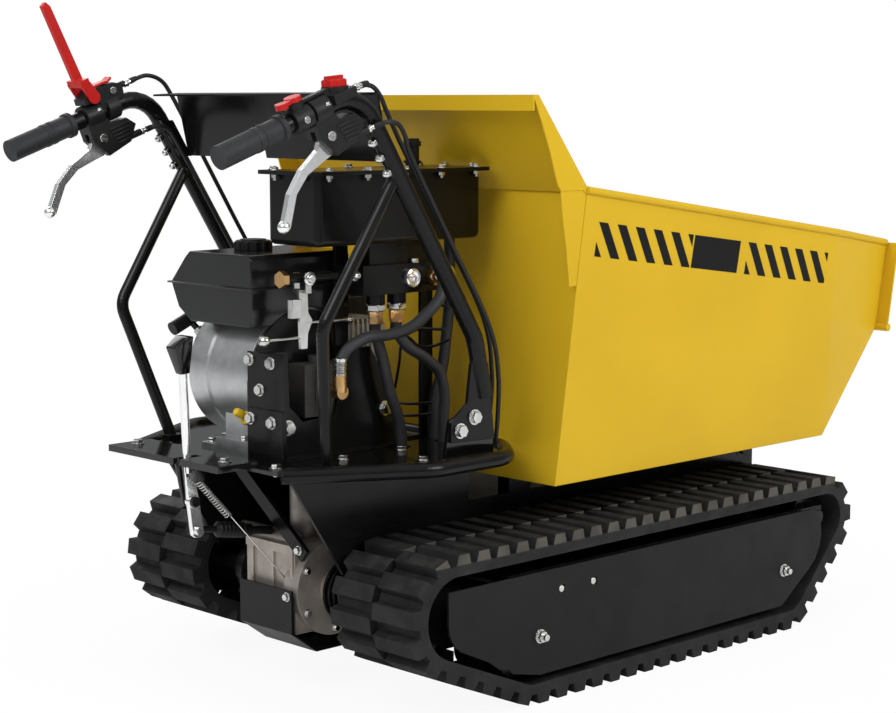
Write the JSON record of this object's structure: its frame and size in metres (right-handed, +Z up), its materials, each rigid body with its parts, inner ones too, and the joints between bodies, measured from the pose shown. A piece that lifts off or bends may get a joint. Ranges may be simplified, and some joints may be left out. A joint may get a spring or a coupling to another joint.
{
  "type": "tracked power carrier",
  "caption": "Walk-behind tracked mini dumper with a forward-tipping yellow skip, rubber tracks, a rear engine deck and hand controls.",
  "frame": {"origin": "on the ground under the middle of the carrier's outer box", "axes": "+X forwards towards the skip's nose, +Y to the operator's left, +Z up"},
  "size_m": [1.544, 0.732, 1.0658],
  "materials": {
    "black_paint": "gloss black powder coat",
    "yellow_paint": "semi-gloss yellow paint",
    "track_rubber": "matt moulded rubber",
    "grip_rubber": "matt rubber",
    "hose_rubber": "satin rubber",
    "black_plastic": "satin black",
    "red_plastic": "gloss red",
    "chrome": "bright chrome",
    "zinc": "zinc plated",
    "alloy": "cast, satin",
    "gear_casting": "cast, grey-brown",
    "heat_black": "matt heat-proof black",
    "brass": "bright brass"
  },
  "bodies": {
    "base": {"chassis_frame": "black_paint", "track_frame_left": "black_paint", "track_frame_right": "black_paint", "side_plate_left": "black_paint", "side_plate_right": "black_paint", "gearbox_guard": "black_paint", "deck_plate": "black_paint", "guard_rail": "black_paint", "rear_bumper": "black_paint", "handlebar_left": "black_paint", "handlebar_right": "black_paint", "console_panel": "black_paint", "pump_bracket": "black_paint", "valve_block": "black_paint", "track_left": "track_rubber", "track_right": "track_rubber", "grip_left": "grip_rubber", "grip_right": "grip_rubber", "control_cables": "hose_rubber", "hydraulic_hoses": "hose_rubber", "axle_caps": "black_plastic", "perch_left": "black_plastic", "perch_right": "black_plastic", "clutch_bracket": "black_plastic", "throttle_housing": "black_plastic", "fuel_tank": "black_plastic", "oil_tank": "black_plastic", "tank_lid": "black_plastic", "shift_spring": "zinc", "hinge_pin": "zinc", "fasteners": "zinc", "engine_block": "alloy", "recoil_housing": "alloy", "hydraulic_pump": "alloy", "gearbox_case": "gear_casting", "muffler": "heat_black", "hose_fittings": "brass"},
    "skip": {"skip_tub": "yellow_paint"},
    "tipping_barrel": {"cylinder_barrel": "black_paint"},
    "tipping_rod": {"cylinder_rod": "chrome"},
    "gear_lever": {"shift_lever": "chrome", "shift_knob": "black_plastic"},
    "left_hand_lever": {"hand_lever_left": "chrome"},
    "right_hand_lever": {"hand_lever_right": "chrome"},
    "drive_lever": {"clutch_lever": "red_plastic"},
    "throttle": {"throttle_lever": "red_plastic"},
    "stop_switch": {"stop_knob": "red_plastic"},
    "filler_cap": {"fuel_cap": "black_plastic"},
    "starter": {"starter_handle": "black_plastic"},
    "spool_lever": {"valve_lever": "zinc"},
    "sprocket_left_wheel": {"sprocket_left": "black_paint"},
    "idler_left_wheel": {"idler_left": "black_paint"},
    "roller_left_rear_wheel": {"roller_left_rear": "black_paint"},
    "roller_left_middle_wheel": {"roller_left_middle": "black_paint"},
    "roller_left_front_wheel": {"roller_left_front": "black_paint"},
    "sprocket_right_wheel": {"sprocket_right": "black_paint"},
    "idler_right_wheel": {"idler_right": "black_paint"},
    "roller_right_rear_wheel": {"roller_right_rear": "black_paint"},
    "roller_right_middle_wheel": {"roller_right_middle": "black_paint"},
    "roller_right_front_wheel": {"roller_right_front": "black_paint"}
  },
  "joints": [
    {"name": "skip_tip", "type": "hinge", "parent": "base", "child": "skip", "pos_m": [0.51602, 0, 0.29], "axis": [0, 1, 0], "range_deg": [0, 55]},
    {"name": "barrel_swing", "type": "hinge", "parent": "base", "child": "tipping_barrel", "pos_m": [0.47665, 0, 0.12565], "axis": [0, 1, 0], "range_deg": [0, 27.6]},
    {"name": "rod_slide", "type": "slide", "parent": "tipping_barrel", "child": "tipping_rod", "axis": [-0.6053, 0, 0.796], "range_m": [0, 0.0971]},
    {"name": "sprocket_left_spin", "type": "hinge", "parent": "base", "child": "sprocket_left_wheel", "pos_m": [-0.40698, 0.26, 0.164], "axis": [0, 1, 0], "continuous": true},
    {"name": "idler_left_spin", "type": "hinge", "parent": "base", "child": "idler_left_wheel", "pos_m": [0.50002, 0.26, 0.183], "axis": [0, 1, 0], "continuous": true},
    {"name": "roller_left_rear_spin", "type": "hinge", "parent": "base", "child": "roller_left_rear_wheel", "pos_m": [-0.24598, 0.26, 0.069], "axis": [0, 1, 0], "continuous": true},
    {"name": "roller_left_middle_spin", "type": "hinge", "parent": "base", "child": "roller_left_middle_wheel", "pos_m": [0.07852, 0.26, 0.069], "axis": [0, 1, 0], "continuous": true},
    {"name": "roller_left_front_spin", "type": "hinge", "parent": "base", "child": "roller_left_front_wheel", "pos_m": [0.40302, 0.26, 0.069], "axis": [0, 1, 0], "continuous": true},
    {"name": "sprocket_right_spin", "type": "hinge", "parent": "base", "child": "sprocket_right_wheel", "pos_m": [-0.40698, -0.26, 0.164], "axis": [0, 1, 0], "continuous": true},
    {"name": "idler_right_spin", "type": "hinge", "parent": "base", "child": "idler_right_wheel", "pos_m": [0.50002, -0.26, 0.183], "axis": [0, 1, 0], "continuous": true},
    {"name": "roller_right_rear_spin", "type": "hinge", "parent": "base", "child": "roller_right_rear_wheel", "pos_m": [-0.24598, -0.26, 0.069], "axis": [0, 1, 0], "continuous": true},
    {"name": "roller_right_middle_spin", "type": "hinge", "parent": "base", "child": "roller_right_middle_wheel", "pos_m": [0.07852, -0.26, 0.069], "axis": [0, 1, 0], "continuous": true},
    {"name": "roller_right_front_spin", "type": "hinge", "parent": "base", "child": "roller_right_front_wheel", "pos_m": [0.40302, -0.26, 0.069], "axis": [0, 1, 0], "continuous": true},
    {"name": "gear_shift", "type": "hinge", "parent": "base", "child": "gear_lever", "pos_m": [-0.63418, -0.01, 0.322], "axis": [0, 1, 0], "range_deg": [-8, 8]},
    {"name": "left_lever_squeeze", "type": "hinge", "parent": "base", "child": "left_hand_lever", "pos_m": [-0.60695, 0.257, 0.85893], "axis": [0, 1, 0], "range_deg": [0, 14], "stiffness_Nm_per_rad": 1.6, "springref_deg": -20.05},
    {"name": "right_lever_squeeze", "type": "hinge", "parent": "base", "child": "right_hand_lever", "pos_m": [-0.5806, -0.257, 0.86841], "axis": [0, 1, 0], "range_deg": [0, 14], "stiffness_Nm_per_rad": 1.6, "springref_deg": -20.05},
    {"name": "drive_lever_press", "type": "hinge", "parent": "base", "child": "drive_lever", "pos_m": [-0.62332, 0.257, 0.92212], "axis": [0, -1, 0], "range_deg": [0, 62], "stiffness_Nm_per_rad": 0.5, "springref_deg": -34.38},
    {"name": "throttle_turn", "type": "hinge", "parent": "base", "child": "throttle", "pos_m": [-0.63582, -0.257, 0.91549], "axis": [-0.3387, 0, 0.9409], "range_deg": [0, 50]},
    {"name": "stop_turn", "type": "hinge", "parent": "base", "child": "stop_switch", "pos_m": [-0.55802, -0.253, 0.93681], "axis": [-0.1011, 0, 0.9949], "range_deg": [0, 90]},
    {"name": "cap_turn", "type": "hinge", "parent": "base", "child": "filler_cap", "pos_m": [-0.47398, 0.038, 0.688], "axis": [0, 0, 1], "range_deg": [0, 90]},
    {"name": "spool_lever_swing", "type": "hinge", "parent": "base", "child": "spool_lever", "pos_m": [-0.49798, -0.108, 0.655], "axis": [0, 1, 0], "range_deg": [-6, 6], "stiffness_Nm_per_rad": 2},
    {"name": "starter_pull", "type": "slide", "parent": "base", "child": "starter", "axis": [-0.3041, 0.6516, 0.695], "range_m": [0, 0.06], "stiffness_N_per_m": 60, "springref_m": -0.05}
  ],
  "couplings": [
    {"joint": "barrel_swing", "follows": "skip_tip", "ratio": 0.5},
    {"joint": "rod_slide", "follows": "skip_tip", "m_per_rad": 0.10066},
    {"joint": "idler_left_spin", "follows": "sprocket_left_spin", "ratio": 1.4318},
    {"joint": "roller_left_rear_spin", "follows": "sprocket_left_spin", "ratio": 1.7027},
    {"joint": "roller_left_middle_spin", "follows": "sprocket_left_spin", "ratio": 1.7027},
    {"joint": "roller_left_front_spin", "follows": "sprocket_left_spin", "ratio": 1.7027},
    {"joint": "idler_right_spin", "follows": "sprocket_right_spin", "ratio": 1.4318},
    {"joint": "roller_right_rear_spin", "follows": "sprocket_right_spin", "ratio": 1.7027},
    {"joint": "roller_right_middle_spin", "follows": "sprocket_right_spin", "ratio": 1.7027},
    {"joint": "roller_right_front_spin", "follows": "sprocket_right_spin", "ratio": 1.7027}
  ]
}
